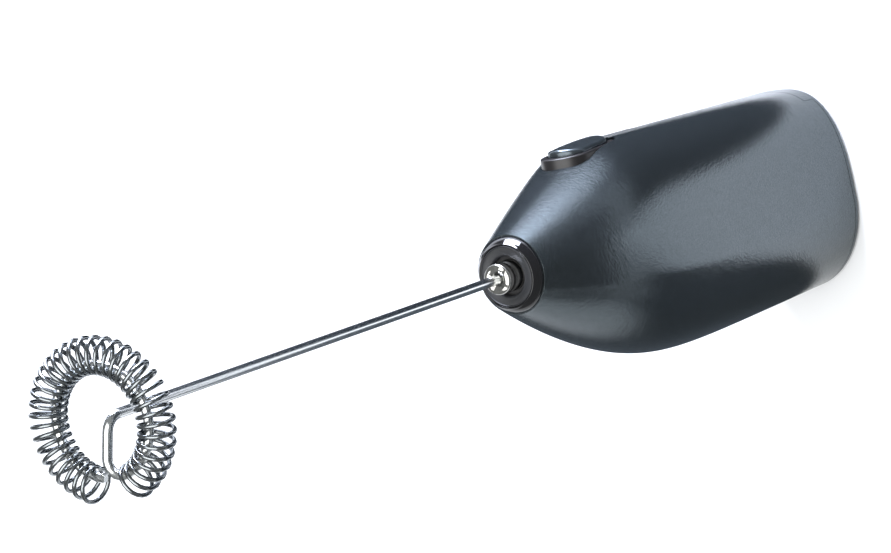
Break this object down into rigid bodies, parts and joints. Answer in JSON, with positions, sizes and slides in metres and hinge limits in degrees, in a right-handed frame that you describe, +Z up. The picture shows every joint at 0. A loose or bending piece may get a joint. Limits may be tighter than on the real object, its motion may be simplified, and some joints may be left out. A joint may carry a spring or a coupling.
{
  "type": "milk frother",
  "caption": "Hand-held battery milk frother: tapered egg-section handle, crest push button, steel shaft and ring whisk wound with a fine wire coil.",
  "frame": {"origin": "on the shaft axis, in the plane of the flat rear end that the frother stands on", "axes": "+Z up the shaft towards the whisk, -Y the button side (crest), +Y the belly, -X and +X the broad sides"},
  "size_m": [0.0299, 0.0412, 0.2127],
  "materials": {
    "handle_shell": "satin metallic gunmetal",
    "button_grey": "satin",
    "gloss_black": "gloss",
    "satin_black": "satin",
    "inner_black": "moulded",
    "felt": "felt",
    "nickel": "polished nickel",
    "stainless": "drawn wire",
    "spring_steel": "drawn wire",
    "motor_steel": "zinc plated",
    "lamination": "stamped",
    "ferrite": "sintered",
    "bronze": "sintered",
    "brass": "rolled",
    "copper": "enamelled wire",
    "cell_jacket": "printed film",
    "lead_insulation": "PVC"
  },
  "bodies": {
    "battery_cap": {"battery_cap": "handle_shell", "cap_contact": "nickel", "cap_spring": "spring_steel"},
    "cell_crest": {"cell_crest": "cell_jacket"},
    "cell_belly": {"cell_belly": "cell_jacket"},
    "handle": {"housing": "handle_shell", "nose_ring": "gloss_black", "nose_disc": "satin_black", "shaft_seal": "felt", "motor_carrier": "inner_black", "carrier_screws": "spring_steel", "positive_contact": "nickel", "negative_contact": "nickel", "negative_spring": "spring_steel", "motor_can": "motor_steel", "motor_end_cap": "inner_black", "magnet_crest": "ferrite", "magnet_belly": "ferrite", "front_bush": "bronze", "rear_bush": "bronze", "brush_left": "copper", "brush_right": "copper", "switch_bezel": "satin_black", "switch_pin": "stainless", "contact_left": "brass", "contact_right": "brass", "switch_spring": "spring_steel", "lead_left": "lead_insulation", "lead_right": "lead_insulation"},
    "whisk": {"motor_shaft": "stainless", "rotor_core": "lamination", "rotor_windings": "copper", "commutator": "brass", "ferrule": "nickel", "whisk_stem": "stainless", "whisk_coil": "stainless"},
    "switch": {"switch_button": "button_grey", "switch_arm": "button_grey", "switch_bridge": "brass"}
  },
  "joints": [
    {"name": "handle_lift", "type": "slide", "parent": "battery_cap", "child": "handle", "axis": [0, 0, 1], "range_m": [0, 0.065]},
    {"name": "cell_crest_draw", "type": "slide", "parent": "battery_cap", "child": "cell_crest", "axis": [0, 0, 1], "range_m": [0, 0.0325]},
    {"name": "cell_belly_draw", "type": "slide", "parent": "battery_cap", "child": "cell_belly", "axis": [0, 0, 1], "range_m": [0, 0.0325]},
    {"name": "whisk_spin", "type": "hinge", "parent": "handle", "child": "whisk", "pos_m": [0, 0, 0.09], "axis": [0, 0, 1], "continuous": true},
    {"name": "switch_press", "type": "hinge", "parent": "handle", "child": "switch", "pos_m": [0, -0.01469, 0.04731], "axis": [-1, 0, 0], "range_deg": [0, 3.2], "stiffness_Nm_per_rad": 0.05, "springref_deg": -2.86, "deforming": ["switch_spring"]}
  ],
  "couplings": [
    {"joint": "cell_crest_draw", "follows": "handle_lift", "ratio": 0.5},
    {"joint": "cell_belly_draw", "follows": "handle_lift", "ratio": 0.5}
  ]
}
